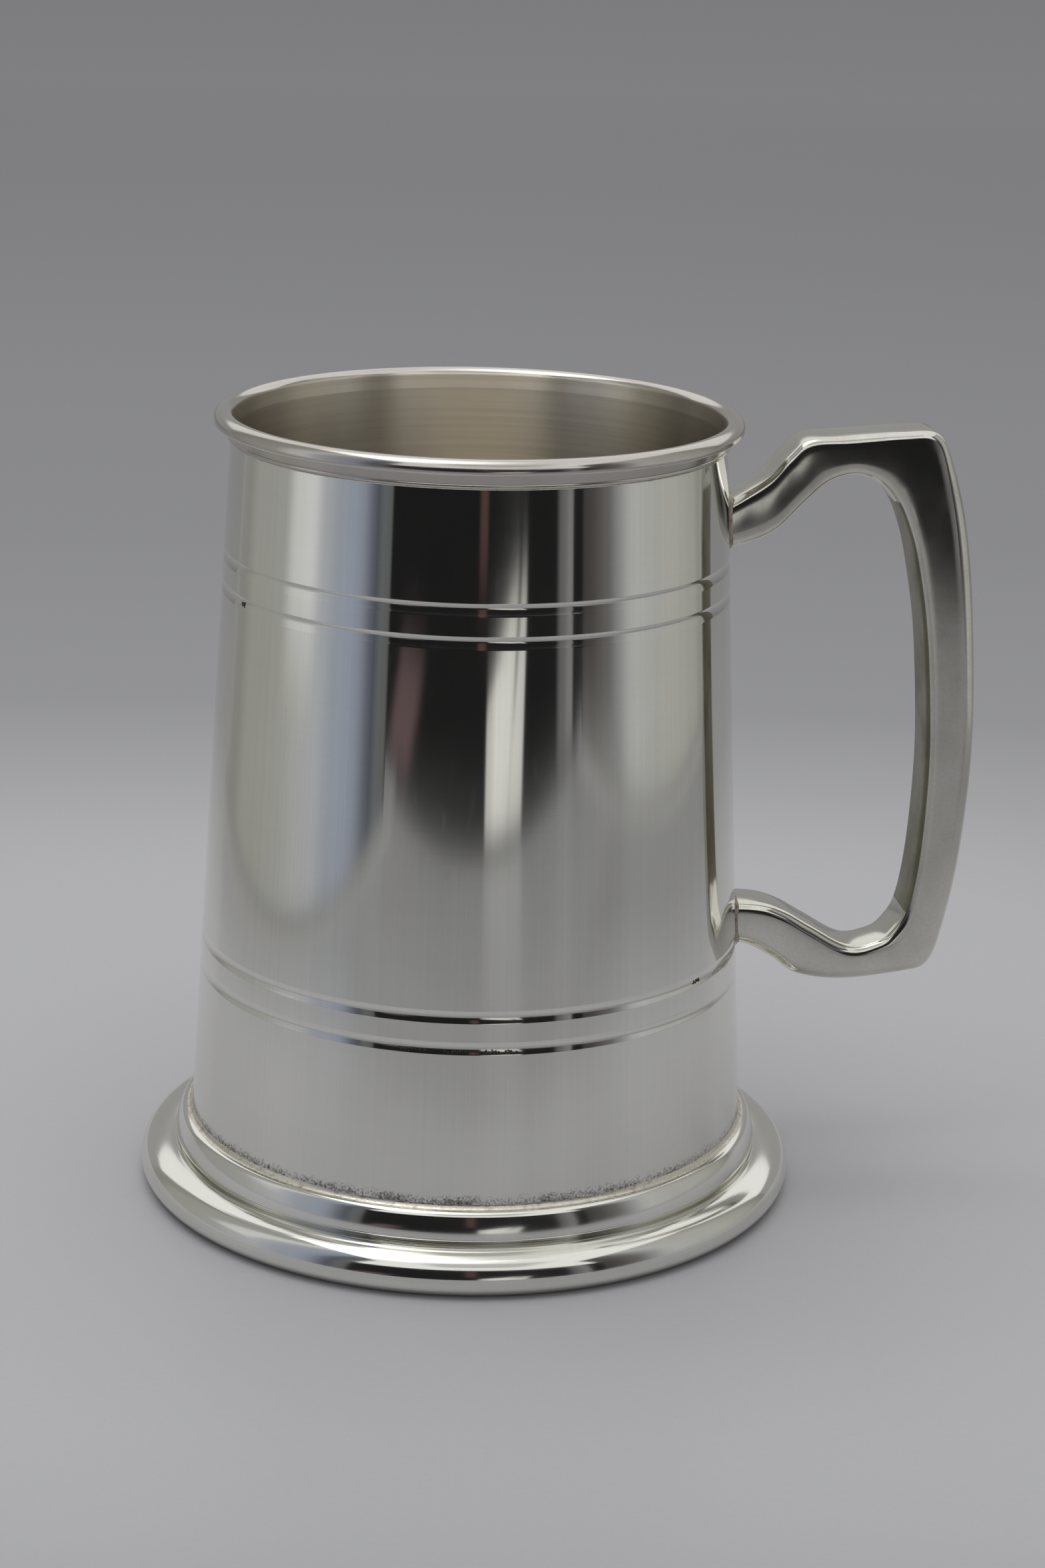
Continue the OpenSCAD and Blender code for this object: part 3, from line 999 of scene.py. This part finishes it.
def frontRoom(tree, coords, split):
    # a dark room beyond the table: one bright slit that narrows upwards, a warm patch and a grey strip
    x, z = split.outputs[0], split.outputs[2]
    dark = (0.0115, 0.0115, 0.012)
    lean = rangeNode(tree, z, 0.034, 0.064, 0.0, 0.080, False)
    left = mathNode(tree, "ADD", lean, 0.036)
    right = mathNode(tree, "ADD", mathNode(tree, "MULTIPLY", z, 0.2), 0.140)
    slit = mathNode(tree, "MULTIPLY", band(tree, x, left, right, 0.004), rangeNode(tree, z, 0.07, 0.055))
    seam = mathNode(tree, "ADD", mathNode(tree, "MULTIPLY", z, 0.55), 0.0925)
    seamDark = mathNode(tree, "MULTIPLY", band(tree, x, seam, mathNode(tree, "ADD", seam, 0.008), 0.004),
                        rangeNode(tree, z, 0.022, 0.052, 0.15, 1.0))
    slit = mathNode(tree, "MULTIPLY", slit, mathNode(tree, "SUBTRACT", 1.0, seamDark))
    slitTone = ramp(tree, x, ((0.03, (0.50, 0.50, 0.48)), (0.065, (0.80, 0.79, 0.77)),
                              (0.10, (0.74, 0.74, 0.71)),
                              (0.15, (0.60, 0.60, 0.60))), 0.0, 0.2)
    patchX = mathNode(tree, "SUBTRACT", x, mathNode(tree, "MULTIPLY", z, 1.5))
    warm = mathNode(tree, "MULTIPLY", band(tree, patchX, -0.285, -0.205, 0.016),
                    band(tree, z, 0.006, 0.040, 0.010))
    streak = mathNode(tree, "MULTIPLY", band(tree, x, 0.008, 0.030, 0.006), band(tree, z, 0.066, 0.24, 0.008))
    strip = ramp(tree, x, ((0.262, gray(0.0)), (0.28, (0.11, 0.11, 0.115)), (0.30, (0.14, 0.135, 0.14)),
                           (0.325, (0.21, 0.205, 0.215)), (0.342, (0.20, 0.20, 0.205)), (0.35, gray(0.0))),
                 0.2, 0.4)
    lowGlow = rangeNode(tree, z, 0.0, 0.022, 0.018, 0.0)
    color = mixColor(tree, slit, rgba(dark), slitTone)
    color = mixColor(tree, warm, color, (0.125, 0.085, 0.088, 1))
    color = mixColor(tree, streak, color, (0.085, 0.05, 0.045, 1))
    color = mixColor(tree, 1.0, color, strip, "ADD")
    return mixColor(tree, 1.0, color, lowGlow, "ADD")


def tableEdge(tree, coords, split):
    # the table's front edge falls into shade
    return ramp(tree, split.outputs[1], ((-0.39, gray(0.03)), (-0.365, gray(0.13)), (-0.345, gray(0.27))),
                -0.4, -0.3)


def leftShade(tree, coords, split):
    return ramp(tree, split.outputs[0], ((-0.24, gray(0.25)), (-0.22, gray(0.29)), (-0.205, gray(0.36))),
                -0.25, -0.15)


def rightShade(tree, coords, split):
    return ramp(tree, split.outputs[0], ((0.33, gray(0.38)), (0.345, gray(0.30)), (0.37, gray(0.25))),
                0.3, 0.4)


def ceiling(tree, coords, split):
    # white cloth overhead with one very bright lamp behind it, and a grey patch towards the front
    x, y = split.outputs[0], split.outputs[1]
    lampX = mathNode(tree, "SUBTRACT", x, -0.16)
    lampY = mathNode(tree, "SUBTRACT", y, -0.02)
    reach = mathNode(tree, "SQRT", mathNode(tree, "ADD", mathNode(tree, "MULTIPLY", lampX, lampX),
                                            mathNode(tree, "MULTIPLY", lampY, lampY)))
    lamp = rangeNode(tree, reach, 0.30, 0.05)
    patch = mathNode(tree, "MULTIPLY", band(tree, x, -0.10, 0.22, 0.05), band(tree, y, -0.50, -0.20, 0.05))
    color = mixColor(tree, lamp, (0.92, 0.92, 0.91, 1), (2.6, 2.6, 2.5, 1))
    return mixColor(tree, mathNode(tree, "MULTIPLY", patch, 0.6), color, (0.30, 0.30, 0.31, 1))


card("leftPanel", ((-0.24, -0.33, 0), (-0.24, 0.19, 0), (-0.24, 0.19, 0.5), (-0.24, -0.33, 0.5)),
     emission("leftCloth", leftPanel))
card("rightPanel", ((0.37, 0.21, 0), (0.37, -0.36, 0), (0.37, -0.36, 0.5), (0.37, 0.21, 0.5)),
     emission("rightCloth", rightPanel))
card("frontRoom", ((-0.7, -0.39, -0.01), (0.9, -0.39, -0.01), (0.9, -0.39, 0.25), (-0.7, -0.39, 0.25)),
     emission("frontRoom", frontRoom))
card("tableEdge", ((-0.23, -0.39, 0.0005), (0.36, -0.39, 0.0005), (0.36, -0.348, 0.0005),
                   (-0.23, -0.348, 0.0005)),
     emission("tableEdge", tableEdge))
card("leftShade", ((-0.24, -0.33, 0.0005), (-0.205, -0.33, 0.0005), (-0.205, 0.19, 0.0005),
                   (-0.24, 0.19, 0.0005)),
     emission("leftShade", leftShade))
card("rightShade", ((0.33, -0.345, 0.0005), (0.37, -0.345, 0.0005), (0.37, 0.21, 0.0005),
                    (0.33, 0.21, 0.0005)),
     emission("rightShade", rightShade))
card("ceiling", ((-1.6, -1.6, 0.56), (1.6, -1.6, 0.56), (1.6, 1.2, 0.56), (-1.6, 1.2, 0.56)),
     emission("ceilingCloth", ceiling))


def tableTop():
    material, tree, shader, coords, split = startMaterial("paleTable")
    fourth = []
    # painted light: the table's tone falls off with distance from the middle as a painted pool of light, and
    # is lifted towards the front as a painted sheen
    for axis, middle in ((0, 0.0), (1, tableLook["middle"])):
        squared = mathNode(tree, "POWER", mathNode(tree, "SUBTRACT", split.outputs[axis], middle), 2.0)
        fourth.append(mathNode(tree, "POWER", squared, 2.0))
    reach = mathNode(tree, "POWER", mathNode(tree, "ADD", *fourth), 0.25)
    tone = ramp(tree, reach, tableLook["paintedLightFalloff"], 0.0, 2.0)
    paper = noiseNode(tree, coords, 900.0, 3.0, 0.6)
    front = rangeNode(tree, split.outputs[1], *tableLook["front"])
    lit = mixColor(tree, 1.0, tone, front, "MULTIPLY")
    toned = mixColor(tree, 1.0, lit, rangeNode(tree, paper, 0.3, 0.7, 0.99, 1.01), "MULTIPLY")
    tree.links.new(toned, shader.inputs["Base Color"])
    shader.inputs["Roughness"].default_value = tableLook["roughness"]
    shader.inputs["Specular IOR Level"].default_value = tableLook["specular"]
    return material


def tableGray(v):
    return (v, v * 1.0, v * 1.035)


# painted light on the table: a pool of light fading with distance, and a sheen lifted towards the front
tableLook = dict(size=4.5, middle=0.03, front=(-0.15, -0.22, 1.0, 1.22), roughness=0.42, specular=0.3, paintedLightFalloff=(
    (0.0, tableGray(0.44)), (0.08, tableGray(0.465)), (0.127, tableGray(0.46)), (0.152, tableGray(0.435)),
    (0.184, tableGray(0.385)), (0.254, tableGray(0.295)), (0.453, tableGray(0.265)),
    (1.035, tableGray(0.295)),
    (1.7, tableGray(0.36)), (2.0, tableGray(0.40))))
s = tableLook["size"]
card("table", ((-s, -s, 0), (s, -s, 0), (s, s, 0), (-s, s, 0)), tableTop(), glossyOnly=False)


def softWorld():
    world = bpy.data.worlds.new("studio")
    bpy.context.scene.world = world
    world.use_nodes = True
    tree = world.node_tree
    back = tree.nodes["Background"]
    path = addNode(tree, "ShaderNodeLightPath")
    glossy = path.outputs["Is Glossy Ray"]
    seen = path.outputs["Is Camera Ray"]
    fill = mixColor(tree, glossy, (0.42, 0.42, 0.43, 1), (0.33, 0.33, 0.325, 1))
    tree.links.new(mixColor(tree, seen, fill, (0.30, 0.30, 0.31, 1)), back.inputs["Color"])
    return world


softWorld()
lampLook = dict(size=(1.5, 1.3), watts=11.0, place=(-0.12, 0.06, 1.3))
lampData = bpy.data.lights.new("overheadSoftbox", "AREA")
lampData.shape = "RECTANGLE"
lampData.size, lampData.size_y = lampLook["size"]
lampData.energy = lampLook["watts"]
lamp = bpy.data.objects.new("overheadSoftbox", lampData)
lamp.location = toModel @ Vector(lampLook["place"])
lamp.visible_glossy = False
bpy.context.scene.collection.objects.link(lamp)
bpy.context.scene.view_settings.view_transform = "Standard"


# ---------- camera ----------

cameraLook = dict(distance=0.509652, height=0.218494, yaw=0.0157249, pitch=-0.2917618, roll=0.0257457,
                  sensor=36.0, lens=5000 / 2352 * 36.0)


def placeCamera():
    look = cameraLook
    data = bpy.data.cameras.new("camera")
    data.sensor_width, data.lens = look["sensor"], look["lens"]
    camera = bpy.data.objects.new("camera", data)
    bpy.context.scene.collection.objects.link(camera)
    yaw, pitch, roll = look["yaw"], look["pitch"], look["roll"]
    forward = Vector((math.sin(yaw) * math.cos(pitch), math.cos(yaw) * math.cos(pitch), math.sin(pitch)))
    right = Vector((math.cos(yaw), -math.sin(yaw), 0))
    upward = right.cross(forward)
    right, upward = (right * math.cos(roll) + upward * math.sin(roll),
                     upward * math.cos(roll) - right * math.sin(roll))
    place = Matrix((right, upward, -forward)).transposed().to_4x4()
    place.translation = Vector((0, -look["distance"], look["height"]))
    camera.matrix_world = toModel @ place
    bpy.context.scene.camera = camera


placeCamera()
print("studio set")
